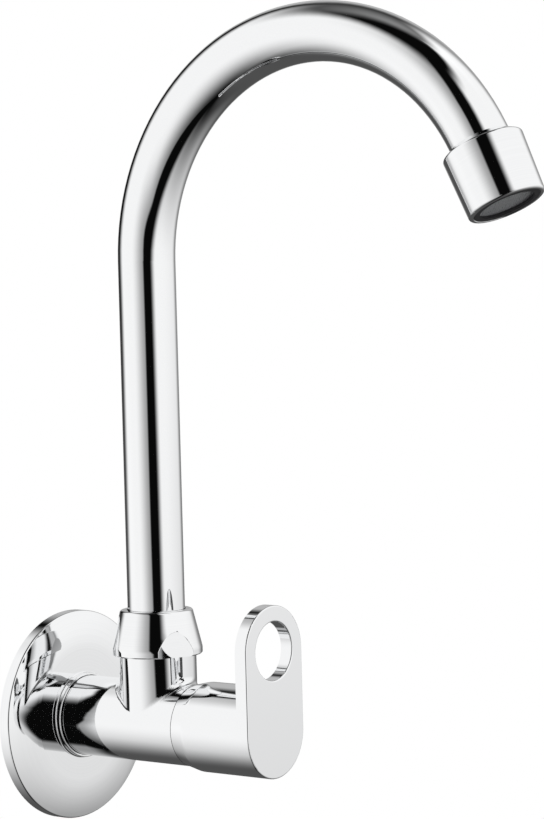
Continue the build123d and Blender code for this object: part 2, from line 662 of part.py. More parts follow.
# Moving ceramic disc, its ports a quarter turn away while the tap is closed
with BuildPart() as moving_disc:
    with BuildSketch(Plane.XZ.offset(MOVING_DISC_REAR)):
        Circle(MOVING_DISC_RADIUS)
        disc_ports(90)
    extrude(amount=DISC_THICKNESS)
    with BuildSketch(Plane.XZ.offset(FOOT_REAR - KEY_DEPTH)):
        Rectangle(PAST_EDGE * MOVING_DISC_RADIUS, KEY_WIDTH)
    extrude(amount=KEY_DEPTH, mode=Mode.SUBTRACT)
write(moving_disc.part, "moving_disc")

# Spindle: key and foot that turn the disc, grooved shaft and splined end
with BuildPart() as spindle:
    with BuildSketch(Plane.XZ.offset(FOOT_REAR)):
        Circle(MOVING_DISC_RADIUS)
        Rectangle(PAST_EDGE * MOVING_DISC_RADIUS, FOOT_WIDTH, mode=Mode.INTERSECT)
    extrude(amount=FOOT_THICKNESS)
    with BuildSketch(Plane.XZ.offset(FOOT_REAR - KEY_DEPTH + FACE_GAP)):
        Circle(MOVING_DISC_RADIUS)
        Rectangle(PAST_EDGE * MOVING_DISC_RADIUS, KEY_WIDTH - 2 * FACE_GAP, mode=Mode.INTERSECT)
    extrude(amount=KEY_DEPTH - FACE_GAP)
    with BuildSketch(Plane.XZ.offset(FOOT_FRONT)):
        Circle(SPINDLE_RADIUS)
    extrude(amount=SPLINE_REAR - FOOT_FRONT)
    with BuildSketch(Plane.XZ.offset(SPLINE_REAR)):
        toothed_face(SPLINE_RADIUS, SPLINE_RADIUS - SPLINE_DEPTH)
    extrude(amount=SPLINE_LENGTH)
    first_ring = DISC_BORE_FRONT + SPINDLE_RING_LEAD
    ring_places = (first_ring, first_ring + SPINDLE_RING_PITCH)
    for place in ring_places:
        turn_ring(
            BODY_SECTION,
            BODY_AXIS,
            SPINDLE_RADIUS - SPINDLE_GROOVE_DEPTH,
            2 * SPINDLE_RADIUS,
            place - SPINDLE_GROOVE_WIDTH / 2,
            place + SPINDLE_GROOVE_WIDTH / 2,
            Mode.SUBTRACT,
        )
    turn_ring(
        BODY_SECTION,
        BODY_AXIS,
        SPINDLE_RADIUS - CIRCLIP_GROOVE_DEPTH,
        2 * SPINDLE_RADIUS,
        CIRCLIP_REAR - FACE_GAP,
        CIRCLIP_FRONT + FACE_GAP,
        Mode.SUBTRACT,
    )
write(spindle.part, "spindle")

# O-rings on the spindle
with BuildPart() as spindle_o_rings:
    ring_gap = SPINDLE_GROOVE_DEPTH + RUNNING_CLEARANCE
    for place in ring_places:
        with Locations(Plane.XZ.offset(place)):
            Torus(SPINDLE_BORE_RADIUS - ring_gap / 2, ring_gap / 2 - SEAL_CLEARANCE)
write(spindle_o_rings.part, "spindle_o_rings")

# Thrust washer between the spindle's foot and the housing
with BuildPart() as thrust_washer:
    turn_ring(
        BODY_SECTION,
        BODY_AXIS,
        SPINDLE_BORE_RADIUS,
        MOVING_DISC_RADIUS,
        FOOT_FRONT,
        FOOT_FRONT + THRUST_WASHER,
    )
write(thrust_washer.part, "thrust_washer")

# Stop ring: its tab swings between the two ends of the housing's stop
with BuildPart() as stop_ring:
    cut_start = TAB_CLOSED + STOP_TAB_ANGLE / 2
    half_cut = (360 - STOP_TAB_ANGLE) / 2
    with BuildSketch(Plane.XZ.offset(STOP_REAR + FACE_GAP)):
        Circle(STOP_TAB_RADIUS)
        sector_face(STOP_TAB_RADIUS, cut_start, half_cut, Mode.SUBTRACT)
        sector_face(STOP_TAB_RADIUS, cut_start + half_cut, half_cut, Mode.SUBTRACT)
        Circle(STOP_RING_RADIUS)
        Circle(SPINDLE_RADIUS + SEAL_CLEARANCE, mode=Mode.SUBTRACT)
    extrude(amount=STOP_LENGTH - 2 * FACE_GAP)
write(stop_ring.part, "stop_ring")

# Circlip in the spindle's groove
with BuildPart() as spindle_circlip:
    circlip_bore = SPINDLE_RADIUS - CIRCLIP_GROOVE_DEPTH + SEAL_CLEARANCE
    with BuildSketch(Plane.XZ.offset(CIRCLIP_REAR)):
        Circle(circlip_bore + CIRCLIP_WIDTH)
        Circle(circlip_bore, mode=Mode.SUBTRACT)
        sector_face(circlip_bore + CIRCLIP_WIDTH, -90 - CIRCLIP_MOUTH / 2, CIRCLIP_MOUTH, Mode.SUBTRACT)
    extrude(amount=CIRCLIP_THICKNESS)
write(spindle_circlip.part, "spindle_circlip")

# Handle: barrel with a ramped rear edge, upright plate, hollow, hub and screw boss
with BuildPart() as lever_handle:
    with BuildSketch(BODY_SECTION) as barrel_section:
        with BuildLine():
            Polyline(
                (0, HANDLE_REAR),
                (BODY_RADIUS, HANDLE_REAR),
                (BARREL_RADIUS, HANDLE_REAR + BARREL_RAMP),
                (BARREL_RADIUS, HANDLE_FRONT),
                (0, HANDLE_FRONT),
                close=True,
            )
        make_face()
        fillet(nearest_corner(barrel_section, BARREL_RADIUS, HANDLE_REAR + BARREL_RAMP), BARREL_ROUND)
    revolve(axis=BODY_AXIS)
    with BuildSketch(Plane.XZ.offset(LEVER_BACK)):
        with Locations((0, LEVER_HEIGHT / 2)):
            SlotCenterToCenter(LEVER_HEIGHT, 2 * BARREL_RADIUS, rotation=90)
        with Locations((0, LEVER_HEIGHT)):
            Circle(FINGER_HOLE_RADIUS, mode=Mode.SUBTRACT)
    extrude(amount=LEVER_THICKNESS)
    fillet(lever_handle.faces().sort_by(Axis.Y)[0].edges(), LEVER_EDGE)
    turn(
        BODY_SECTION,
        BODY_AXIS,
        (
            (0, HANDLE_REAR),
            (CAVITY_RADIUS, HANDLE_REAR),
            (CAVITY_RADIUS, HUB_FLOOR),
            (HUB_RADIUS, HUB_FLOOR),
            (HUB_RADIUS, HUB_REAR),
            (HUB_BORE_RADIUS, HUB_REAR),
            (HUB_BORE_RADIUS, HUB_FLOOR),
            (0, HUB_FLOOR),
        ),
        Mode.SUBTRACT,
    )
    with BuildSketch(UNDER_BARREL.offset((HUB_BORE_RADIUS + HUB_RADIUS) / 2)):
        Circle(GRUB_HOLE_RADIUS + GRUB_BOSS_WALL)
    extrude(amount=(CAVITY_RADIUS + BARREL_RADIUS - HUB_BORE_RADIUS - HUB_RADIUS) / 2)
    with BuildSketch(UNDER_BARREL):
        Circle(GRUB_HOLE_RADIUS)
    extrude(amount=BARREL_RADIUS, mode=Mode.SUBTRACT)
    with BuildSketch(UNDER_BARREL.offset(BARREL_RADIUS - CAP_DEPTH)):
        Circle(CAP_RADIUS + THREAD_CLEARANCE)
    extrude(amount=2 * CAP_DEPTH, mode=Mode.SUBTRACT)
write(lever_handle.part, "lever_handle")

# Splined bush in the handle's hub
with BuildPart() as spline_bush:
    toothed_radius = SPLINE_RADIUS + RUNNING_CLEARANCE
    with BuildSketch(Plane.XZ.offset(HUB_REAR)):
        Circle(BUSH_RADIUS)
    extrude(amount=HUB_FLOOR - HUB_REAR)
    with BuildSketch(Plane.XZ.offset(HUB_REAR)):
        toothed_face(toothed_radius, toothed_radius - SPLINE_DEPTH)
    extrude(amount=HUB_FLOOR - HUB_REAR, mode=Mode.SUBTRACT)
    with BuildSketch(UNDER_BARREL):
        Circle(GRUB_HOLE_RADIUS + RUNNING_CLEARANCE)
    extrude(amount=2 * BUSH_RADIUS, mode=Mode.SUBTRACT)
write(spline_bush.part, "spline_bush")

# Grub screw: cone point on the spindle, hexagon socket at the outer end
with BuildPart() as grub_screw:
    grub_tip = SPLINE_RADIUS + RUNNING_CLEARANCE
    with BuildSketch(UNDER_BARREL.offset(grub_tip)):
        Circle(GRUB_RADIUS)
    extrude(amount=GRUB_LENGTH)
    chamfer(grub_screw.edges().group_by(Axis.Z)[-1], GRUB_POINT)
    with BuildSketch(UNDER_BARREL.offset(grub_tip + GRUB_LENGTH - GRUB_SOCKET_DEPTH)):
        RegularPolygon(GRUB_SOCKET / 2, 6, major_radius=False)
    extrude(amount=GRUB_SOCKET_DEPTH, mode=Mode.SUBTRACT)
write(grub_screw.part, "grub_screw")

# Cap over the grub screw, flush with the barrel
with BuildPart() as screw_cap:
    with BuildSketch(UNDER_BARREL.offset(BARREL_RADIUS - CAP_DEPTH)):
        Circle(CAP_RADIUS)
    extrude(amount=2 * CAP_DEPTH)
    with BuildSketch(Plane.XZ.offset(HANDLE_REAR)):
        Circle(BARREL_RADIUS)
    extrude(amount=HANDLE_FRONT - HANDLE_REAR, mode=Mode.INTERSECT)
write(screw_cap.part, "screw_cap")

# Nozzle: conical shoulder, socket for the tube, ledge and threaded mouth
with BuildPart() as spout_nozzle:
    with BuildSketch(OUTLET_SECTION) as nozzle_section:
        with BuildLine():
            Polyline(
                (NOZZLE_SOCKET_RADIUS, NOZZLE_START),
                (NOZZLE_RADIUS, NOZZLE_START + NOZZLE_SHOULDER),
                (NOZZLE_MOUTH_RADIUS, NOZZLE_MOUTH),
                (AERATOR_RADIUS, NOZZLE_MOUTH),
                (AERATOR_RADIUS, LEDGE_END),
                (LEDGE_BORE_RADIUS, LEDGE_END),
                (LEDGE_BORE_RADIUS, TUBE_END),
                (NOZZLE_SOCKET_RADIUS, TUBE_END),
                close=True,
            )
        make_face()
        fillet(nearest_corner(nozzle_section, NOZZLE_RADIUS, NOZZLE_START + NOZZLE_SHOULDER), NOZZLE_EDGE)
        fillet(nearest_corner(nozzle_section, NOZZLE_MOUTH_RADIUS, NOZZLE_MOUTH), NOZZLE_EDGE)
        chamfer(nearest_corner(nozzle_section, AERATOR_RADIUS, NOZZLE_MOUTH), MOUTH_CHAMFER)
    revolve(axis=OUTLET_AXIS)
write(spout_nozzle.part, "spout_nozzle")

# Rubber washer between the aerator and the nozzle's ledge
with BuildPart() as aerator_washer:
    turn_ring(
        OUTLET_SECTION,
        OUTLET_AXIS,
        SHELL_RADIUS - AERATOR_WASHER_WIDTH,
        SHELL_RADIUS,
        LEDGE_END,
        SHELL_START,
    )
write(aerator_washer.part, "aerator_washer")

# Threaded aerator shell, with a lip that carries the screens
with BuildPart() as aerator_shell:
    turn_ring(OUTLET_SECTION, OUTLET_AXIS, SHELL_BORE_RADIUS, SHELL_RADIUS, SHELL_START, SHELL_END)
    turn_ring(
        OUTLET_SECTION,
        OUTLET_AXIS,
        SHELL_BORE_RADIUS - AERATOR_LIP_WIDTH,
        SHELL_BORE_RADIUS,
        SCREENS_END,
        SHELL_END,
    )
write(aerator_shell.part, "aerator_shell")

# Two woven outlet screens, the upper one turned half a right angle
with BuildPart() as aerator_outlet_screens:
    with BuildSketch(OUTLET_FACE.offset(SCREENS_END - SCREEN_THICKNESS)):
        screen_face(INSERT_RADIUS, 0)
    extrude(amount=SCREEN_THICKNESS)
    with BuildSketch(OUTLET_FACE.offset(SCREENS_START)):
        screen_face(INSERT_RADIUS, 45)
    extrude(amount=SCREEN_THICKNESS)
write(aerator_outlet_screens.part, "aerator_outlet_screens")

# Aerator core: a cup with large holes in its upper plate
with BuildPart() as aerator_core:
    core_length = SCREENS_START - CORE_START
    with BuildSketch(OUTLET_FACE.offset(CORE_START)):
        Circle(INSERT_RADIUS)
        Circle(CORE_CENTRE_HOLE / 2, mode=Mode.SUBTRACT)
        with PolarLocations(CORE_RING_RADIUS, CORE_RING_HOLES):
            Circle(CORE_RING_HOLE / 2, mode=Mode.SUBTRACT)
    extrude(amount=CORE_PLATE)
    with BuildSketch(OUTLET_FACE.offset(CORE_START)):
        Circle(INSERT_RADIUS)
        Circle(INSERT_RADIUS - CORE_WALL, mode=Mode.SUBTRACT)
    extrude(amount=core_length)
write(aerator_core.part, "aerator_core")

# Diffuser plate above the core
with BuildPart() as aerator_diffuser:
    with BuildSketch(OUTLET_FACE.offset(DIFFUSER_START)):
        Circle(INSERT_RADIUS)
        for ring_radius, hole_count in zip(DIFFUSER_RING_RADII, DIFFUSER_RING_HOLES):
            with PolarLocations(ring_radius, hole_count):
                Circle(DIFFUSER_HOLE / 2, mode=Mode.SUBTRACT)
    extrude(amount=DIFFUSER_THICKNESS)
write(aerator_diffuser.part, "aerator_diffuser")

# Inlet screen on the diffuser
with BuildPart() as aerator_filter_screen:
    with BuildSketch(OUTLET_FACE.offset(FILTER_START)):
        screen_face(INSERT_RADIUS, 0)
    extrude(amount=SCREEN_THICKNESS)
write(aerator_filter_screen.part, "aerator_filter_screen")
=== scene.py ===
"""Looks of a wall-mounted kitchen sink tap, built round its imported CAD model.

The frame is the CAD model's own, in metres: the wall is the plane Y = 0, the tap reaches out from
it along -Y, and +Z is up.
"""
import json
import math

import bpy
from mathutils import Matrix, Vector


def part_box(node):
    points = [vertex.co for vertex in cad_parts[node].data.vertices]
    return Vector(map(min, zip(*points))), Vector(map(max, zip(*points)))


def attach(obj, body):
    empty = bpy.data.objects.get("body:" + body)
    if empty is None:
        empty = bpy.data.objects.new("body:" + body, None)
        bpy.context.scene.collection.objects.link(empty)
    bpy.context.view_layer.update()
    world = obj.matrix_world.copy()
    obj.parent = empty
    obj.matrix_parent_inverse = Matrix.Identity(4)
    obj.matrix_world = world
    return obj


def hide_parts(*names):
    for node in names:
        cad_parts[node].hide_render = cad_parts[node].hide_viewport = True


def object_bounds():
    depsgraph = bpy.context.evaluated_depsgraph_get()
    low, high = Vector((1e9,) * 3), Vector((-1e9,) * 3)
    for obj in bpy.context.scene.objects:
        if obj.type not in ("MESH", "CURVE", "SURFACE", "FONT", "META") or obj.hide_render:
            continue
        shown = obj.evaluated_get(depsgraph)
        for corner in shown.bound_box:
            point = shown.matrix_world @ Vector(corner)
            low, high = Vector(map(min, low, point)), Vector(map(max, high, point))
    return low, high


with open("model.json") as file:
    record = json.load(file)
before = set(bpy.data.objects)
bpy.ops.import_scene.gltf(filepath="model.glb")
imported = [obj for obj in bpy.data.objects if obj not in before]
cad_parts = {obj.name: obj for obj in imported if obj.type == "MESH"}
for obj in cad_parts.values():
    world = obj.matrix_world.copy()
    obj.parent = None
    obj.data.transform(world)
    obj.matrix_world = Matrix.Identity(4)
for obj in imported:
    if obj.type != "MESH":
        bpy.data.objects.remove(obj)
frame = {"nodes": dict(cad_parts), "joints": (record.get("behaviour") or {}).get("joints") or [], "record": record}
cad_low, cad_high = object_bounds()
scene = bpy.context.scene
scene.view_settings.view_transform = "Standard"
MM = 0.001

# Places and directions that the CAD model gives
WALL_AXIS = Vector((0, 1, 0))
JOINTS = {joint["name"]: joint for joint in frame["joints"]}
RISER_FOOT = Vector(JOINTS["spout_swivel"]["pos_m"])
RISER_AXIS = Vector((0, 0, 1))
OUTLET_TURN = math.radians(155.0)
OUTLET_AXIS = Vector((0, -math.sin(OUTLET_TURN), math.cos(OUTLET_TURN)))

# Camera at the photograph's viewing angle
CAMERA_PLACE = Vector((-0.68529, -0.62123, 0.14220))
CAMERA_AZIMUTH = math.radians(-52.34)
CAMERA_ELEVATION = math.radians(2.34)
CAMERA_ROLL = math.radians(-1.49)
CAMERA_LENS = 116.32
CAMERA_SENSOR = 36.0
CAMERA_NEAREST = 0.05
CAMERA_FARTHEST = 50.0


def make_camera():
    """A long lens, turned by azimuth, elevation and a slight roll."""
    back = Vector(
        (
            math.sin(CAMERA_AZIMUTH) * math.cos(CAMERA_ELEVATION),
            -math.cos(CAMERA_AZIMUTH) * math.cos(CAMERA_ELEVATION),
            math.sin(CAMERA_ELEVATION),
        )
    )
    level = Vector((math.cos(CAMERA_AZIMUTH), math.sin(CAMERA_AZIMUTH), 0))
    upright = back.cross(level)
    right = math.cos(CAMERA_ROLL) * level + math.sin(CAMERA_ROLL) * upright
    up = back.cross(right)
    data = bpy.data.cameras.new("photo_camera")
    data.lens = CAMERA_LENS
    data.sensor_width = CAMERA_SENSOR
    data.clip_start = CAMERA_NEAREST
    data.clip_end = CAMERA_FARTHEST
    camera = bpy.data.objects.new("photo_camera", data)
    scene.collection.objects.link(camera)
    turned = Matrix((right, up, back)).transposed().to_4x4()
    camera.matrix_world = Matrix.Translation(CAMERA_PLACE) @ turned
    scene.camera = camera


# Short ways to build node trees. Most of a noise lies between these two values.
NOISE_LOW = 0.3
NOISE_HIGH = 0.7


def put(tree, socket, value):
    """Link a socket to another node's output, or set its own value."""
    if isinstance(value, bpy.types.NodeSocket):
        tree.links.new(value, socket)
    else:
        socket.default_value = value


def math_node(tree, operation, *values):
    """The result of one Math node."""
    made = tree.nodes.new("ShaderNodeMath")
    made.operation = operation
    for socket, value in zip(made.inputs, values):
        put(tree, socket, value)
    return made.outputs[0]


def vector_node(tree, operation, *values):
    """One Vector Math node."""
    made = tree.nodes.new("ShaderNodeVectorMath")
    made.operation = operation
    for socket, value in zip(made.inputs, values):
        put(tree, socket, value)
    return made


def product(tree, *values):
    """All the values multiplied together."""
    result = values[0]
    for value in values[1:]:
        result = math_node(tree, "MULTIPLY", result, value)
    return result


def total(tree, *values):
    """All the values added up."""
    result = values[0]
    for value in values[1:]:
        result = math_node(tree, "ADD", result, value)
    return result


def dot(tree, vector, direction):
    """The part of a vector that lies along a direction."""
    return vector_node(tree, "DOT_PRODUCT", vector, direction).outputs["Value"]


def rise(tree, value, low, high):
    """0 below low, 1 above high and smooth between them. It falls where low is above high."""
    made = tree.nodes.new("ShaderNodeMapRange")
    made.interpolation_type = "SMOOTHSTEP"
    put(tree, made.inputs["Value"], value)
    made.inputs["From Min"].default_value = low
    made.inputs["From Max"].default_value = high
    return made.outputs["Result"]


def stretch(tree, value, first, last):
    """The middle of a noise's range, stretched to run from first to last."""
    made = tree.nodes.new("ShaderNodeMapRange")
    put(tree, made.inputs["Value"], value)
    made.inputs["From Min"].default_value = NOISE_LOW
    made.inputs["From Max"].default_value = NOISE_HIGH
    made.inputs["To Min"].default_value = first
    made.inputs["To Max"].default_value = last
    return made.outputs["Result"]


def object_place(tree):
    """Where a point lies, in metres in the CAD frame."""
    return tree.nodes.new("ShaderNodeTexCoord").outputs["Object"]


# Studio: soft panels in a dark tent
STUDIO_FRONT = Vector((math.sin(CAMERA_AZIMUTH), -math.cos(CAMERA_AZIMUTH), 0))
STUDIO_RIGHT = Vector((math.cos(CAMERA_AZIMUTH), math.sin(CAMERA_AZIMUTH), 0))
STUDIO_CENTRE = Vector((0, -0.09, 0.10))
TENT_RADIUS = 3.0
TENT_CLOTH = 0.003

# Edges of the panels, in degrees round from the camera or up: where each is dark, then where it is full
LEFT_INNER = (6, -1)
LEFT_OUTER = (-136, -106)
LEFT_TOP = (62, 40)
LEFT_FOOT = (-88, -8)
LEFT_DIMMING = (8, -48)
LEFT_DIM_LEVEL = 0.33
LEFT_STEP_HEIGHT = (-22, -4)
LEFT_STEP = 15.0
LEFT_LEAN = 0.45
LEFT_MOST_LEAN = 16.0
LEFT_SPREAD = 0.5
LEFT_CORNER = -90.0
LEFT_CORNER_CUT = 0.6
RIGHT_INNER = (14.5, 37)
RIGHT_OUTER = (164, 126)
RIGHT_TOP = (86, 72)
RIGHT_FOOT = (-84, 2)
RIGHT_LEAN_ABOVE = 0.27
RIGHT_LEAN_BELOW = 0.55
RIGHT_MIDDLE = 90.0
RIGHT_TOP_ARCH = 0.25
RIGHT_CORNER = 60.0
RIGHT_CORNER_CUT = 0.27

# Light from behind, in degrees from straight behind, where the camera's left is positive, and up
BACK_RIGHT = (-34, -14)
BACK_LEFT = (24, 8)
BACK_TOP = (56, 32)
BACK_FOOT = (-16, 14)
BACK_LEVEL = 0.50
UNDER_RIGHT = (-110, -5)
UNDER_LEFT = (110, 50)
UNDER_TOP = (8, -8)
UNDER_LEVEL = 0.08
OVERHEAD_FRONT = (-0.12 * TENT_RADIUS, 0.18 * TENT_RADIUS)
OVERHEAD_FOOT = (42, 100)
OVERHEAD_LEVEL = 0.33


def degrees_round(tree, ahead, aside):
    """Degrees round from the direction ahead, positive on its right."""
    return math_node(tree, "DEGREES", math_node(tree, "ARCTAN2", aside, ahead))


def left_panel(tree, across, up):
    """Soft panel on the camera's left. It dims towards the camera and its inner edge leans outwards."""
    step = product(tree, rise(tree, up, *LEFT_STEP_HEIGHT), LEFT_STEP)
    lean = product(tree, math_node(tree, "MAXIMUM", up, 0.0), LEFT_LEAN)
    slanted = total(tree, across, step, math_node(tree, "MINIMUM", lean, LEFT_MOST_LEAN))
    dims = product(tree, rise(tree, slanted, *LEFT_DIMMING), 1.0 - LEFT_DIM_LEVEL)
    inner = rise(tree, slanted, *LEFT_INNER)
    spread = product(tree, math_node(tree, "ABSOLUTE", up), LEFT_SPREAD)
    outer = rise(tree, total(tree, across, spread), *LEFT_OUTER)
    top = rise(tree, up, *LEFT_TOP)
    corner = math_node(tree, "MINIMUM", total(tree, across, -LEFT_CORNER), 0.0)
    foot = rise(tree, total(tree, up, product(tree, corner, LEFT_CORNER_CUT)), *LEFT_FOOT)
    return product(tree, total(tree, dims, LEFT_DIM_LEVEL), inner, outer, top, foot)


def right_panel(tree, across, up):
    """Soft panel on the camera's right, with an inner edge that leans with the height."""
    above = product(tree, math_node(tree, "MAXIMUM", up, 0.0), RIGHT_LEAN_ABOVE)
    below = product(tree, math_node(tree, "MINIMUM", up, 0.0), RIGHT_LEAN_BELOW)
    inner = rise(tree, total(tree, across, above, below), *RIGHT_INNER)
    outer = rise(tree, across, *RIGHT_OUTER)
    off_middle = math_node(tree, "ABSOLUTE", total(tree, across, -RIGHT_MIDDLE))
    top = rise(tree, total(tree, up, product(tree, off_middle, RIGHT_TOP_ARCH)), *RIGHT_TOP)
    corner = math_node(tree, "MAXIMUM", total(tree, across, -RIGHT_CORNER), 0.0)
    foot = rise(tree, total(tree, up, product(tree, corner, -RIGHT_CORNER_CUT)), *RIGHT_FOOT)
    return product(tree, inner, outer, top, foot)


def back_panel(tree, behind, up):
    """Pale card behind the object, for the surfaces that turn away from the camera."""
    sides = product(tree, rise(tree, behind, *BACK_RIGHT), rise(tree, behind, *BACK_LEFT))
    return product(tree, sides, rise(tree, up, *BACK_TOP), rise(tree, up, *BACK_FOOT), BACK_LEVEL)


def under_glow(tree, behind, up):
    """Dim light from the paper below and behind."""
    sides = product(tree, rise(tree, behind, *UNDER_RIGHT), rise(tree, behind, *UNDER_LEFT))
    return product(tree, sides, rise(tree, up, *UNDER_TOP), UNDER_LEVEL)


def overhead_glow(tree, away, up):
    """Dim light from above and behind. A point lies away metres behind the tent's middle."""
    front = rise(tree, away, *OVERHEAD_FRONT)
    return product(tree, front, rise(tree, up, *OVERHEAD_FOOT), OVERHEAD_LEVEL)


def tent_material():
    """Black cloth with the panels and dim light from behind."""
    material = bpy.data.materials.new("studio_tent")
    material.use_nodes = True
    material.cycles.emission_sampling = "NONE"
    tree = material.node_tree
    tree.nodes.clear()
    place = object_place(tree)
    ahead = dot(tree, place, STUDIO_FRONT)
    aside = dot(tree, place, STUDIO_RIGHT)
    away = dot(tree, place, -STUDIO_FRONT)
    height = dot(tree, place, (0, 0, 1))
    squares = total(tree, product(tree, ahead, ahead), product(tree, aside, aside))
    level = math_node(tree, "SQRT", squares)
    across = degrees_round(tree, ahead, aside)
    behind = degrees_round(tree, away, dot(tree, place, -STUDIO_RIGHT))
    up = degrees_round(tree, level, height)
    shine = tree.nodes.new("ShaderNodeEmission")
    shine.inputs["Color"].default_value = (1, 1, 1, 1)
    light = total(
        tree,
        left_panel(tree, across, up),
        right_panel(tree, across, up),
        back_panel(tree, behind, up),
        under_glow(tree, behind, up),
        overhead_glow(tree, away, up),
        TENT_CLOTH,
    )
    put(tree, shine.inputs["Strength"], light)
    output = tree.nodes.new("ShaderNodeOutputMaterial")
    tree.links.new(shine.outputs[0], output.inputs["Surface"])
    return material


def make_tent():
    """A sphere round the object that only reflections see."""
    bpy.ops.mesh.primitive_uv_sphere_add(
        segments=64,
        ring_count=32,
        radius=TENT_RADIUS,
        location=STUDIO_CENTRE,
    )
    tent = bpy.context.object
    tent.name = "studio_tent"
    tent.data.materials.append(tent_material())
    tent.visible_camera = False
    tent.visible_diffuse = False
    tent.visible_shadow = False


# World: white behind the object, and plain even light on what isn't polished
WORLD_LIGHT = 0.6


def make_world():
    """White where the camera or a reflection looks past everything, plain light elsewhere."""
    world = bpy.data.worlds.new("studio")
    scene.world = world
    world.use_nodes = True
    tree = world.node_tree
    background = tree.nodes["Background"]
    background.inputs["Color"].default_value = (1, 1, 1, 1)
    path = tree.nodes.new("ShaderNodeLightPath")
    seen = math_node(tree, "MAXIMUM", path.outputs["Is Camera Ray"], path.outputs["Is Glossy Ray"])
    seen = math_node(tree, "MAXIMUM", seen, path.outputs["Is Transmission Ray"])
    spare = product(tree, seen, 1.0 - WORLD_LIGHT)
    put(tree, background.inputs["Strength"], total(tree, spare, WORLD_LIGHT))


# Lamps: two large soft ones, for the shadow and for what isn't polished
LAMP_SIZE = 1.0
LAMP_POWER = 10.0
LAMP_PLACES = {"left_lamp": Vector((-1.3, -1.2, 1.3)), "right_lamp": Vector((1.2, -1.0, 1.6))}


def make_lamps():
    """Square area lamps that point at the middle of the object."""
    for name, place in LAMP_PLACES.items():
        data = bpy.data.lights.new(name, "AREA")
        data.size = LAMP_SIZE
        data.energy = LAMP_POWER
        lamp = bpy.data.objects.new(name, data)
        scene.collection.objects.link(lamp)
        lamp.location = place
        lamp.rotation_euler = (STUDIO_CENTRE - place).to_track_quat("-Z", "Y").to_euler()
        lamp.visible_glossy = False


# Floor: a round sheet of pale paper, far enough below the tap to stay out of the photograph's view
FLOOR_HEIGHT = -0.45
FLOOR_RADIUS = 1.2
FLOOR_COLOUR = (0.82, 0.82, 0.81)
FLOOR_SHADE = 0.97
FLOOR_FIBRE = 2 * MM
FLOOR_GLOW = 0.72
FLOOR_BORDER = (0.2 * FLOOR_RADIUS, 0.97 * FLOOR_RADIUS)


def floor_material():
    """Pale paper that keeps the object's shadow and fades to the white background at its border."""
    material, tree, shader = new_material("floor_paper")
    fibres = noise(tree, object_place(tree), FLOOR_FIBRE)
    shaded = scaled(FLOOR_COLOUR, FLOOR_SHADE)
    put(tree, shader.inputs["Base Color"], shades(tree, fibres, shaded, FLOOR_COLOUR))
    shader.inputs["Roughness"].default_value = 0.9
    shader.inputs["Specular IOR Level"].default_value = 0.1
    glow = tree.nodes.new("ShaderNodeEmission")
    glow.inputs["Color"].default_value = (1, 1, 1, 1)
    seen = tree.nodes.new("ShaderNodeLightPath").outputs["Is Camera Ray"]
    off_centre = vector_node(tree, "LENGTH", object_place(tree)).outputs["Value"]
    border = rise(tree, off_centre, *FLOOR_BORDER)
    white = total(tree, FLOOR_GLOW, product(tree, border, 1 - FLOOR_GLOW))
    mix = tree.nodes.new("ShaderNodeMixShader")
    put(tree, mix.inputs["Fac"], product(tree, seen, white))
    tree.links.new(shader.outputs[0], mix.inputs[1])
    tree.links.new(glow.outputs[0], mix.inputs[2])
    tree.links.new(mix.outputs[0], tree.nodes["Material Output"].inputs["Surface"])
    return material


def make_floor():
    """The round sheet, which reflections don't see."""
    middle = (cad_low + cad_high) / 2
    bpy.ops.mesh.primitive_circle_add(
        vertices=96,
        radius=FLOOR_RADIUS,
        fill_type="NGON",
        location=(middle.x, middle.y, FLOOR_HEIGHT),
    )
    floor = bpy.context.object
    floor.name = "floor"
    floor.data.materials.append(floor_material())
    floor.visible_glossy = False


# Parts of materials
def new_material(name):
    """A material with its node tree and its main shader."""
    material = bpy.data.materials.new(name)
    material.use_nodes = True
    tree = material.node_tree
    return material, tree, tree.nodes["Principled BSDF"]


def scaled(colour, factor):
    """A colour made darker or lighter."""
    return tuple(factor * part for part in colour)


def noise(tree, place, grain, detail=2.0):
    """Noise whose spots are about one grain across, in metres."""
    made = tree.nodes.new("ShaderNodeTexNoise")
    put(tree, made.inputs["Vector"], place)
    made.inputs["Scale"].default_value = 1.0 / grain
    made.inputs["Detail"].default_value = detail
    return made.outputs[0]


def shades(tree, value, dark, light):
    """A colour that runs from dark to light as a noise does."""
    made = tree.nodes.new("ShaderNodeValToRGB")
    put(tree, made.inputs["Fac"], value)
    made.color_ramp.elements[0].position = NOISE_LOW
    made.color_ramp.elements[0].color = (*dark, 1)
    made.color_ramp.elements[1].position = NOISE_HIGH
    made.color_ramp.elements[1].color = (*light, 1)
    return made.outputs["Color"]


def bumped(tree, value, height):
    """A surface raised by a noise, up to a height in metres."""
    made = tree.nodes.new("ShaderNodeBump")
    made.inputs["Distance"].default_value = height
    put(tree, made.inputs["Height"], value)
    return made.outputs["Normal"]


def turned_place(tree, centre, axis):
    """Distance from an axis and along it, so that marks drawn in them run round it."""
    from_centre = vector_node(tree, "SUBTRACT", object_place(tree), centre).outputs[0]
    off_axis = vector_node(tree, "CROSS_PRODUCT", from_centre, axis).outputs[0]
    made = tree.nodes.new("ShaderNodeCombineXYZ")
    put(tree, made.inputs["X"], vector_node(tree, "LENGTH", off_axis).outputs["Value"])
    put(tree, made.inputs["Y"], dot(tree, from_centre, axis))
    return made.outputs[0]


# Chrome plate, which differs with the way the metal under it was made
CHROME_DARK = (0.885, 0.890, 0.897)
CHROME_LIGHT = (0.915, 0.920, 0.925)
CHROME_ROUGHNESS = (0.018, 0.045)
HAIRLINE_WIDTH = 0.3 * MM


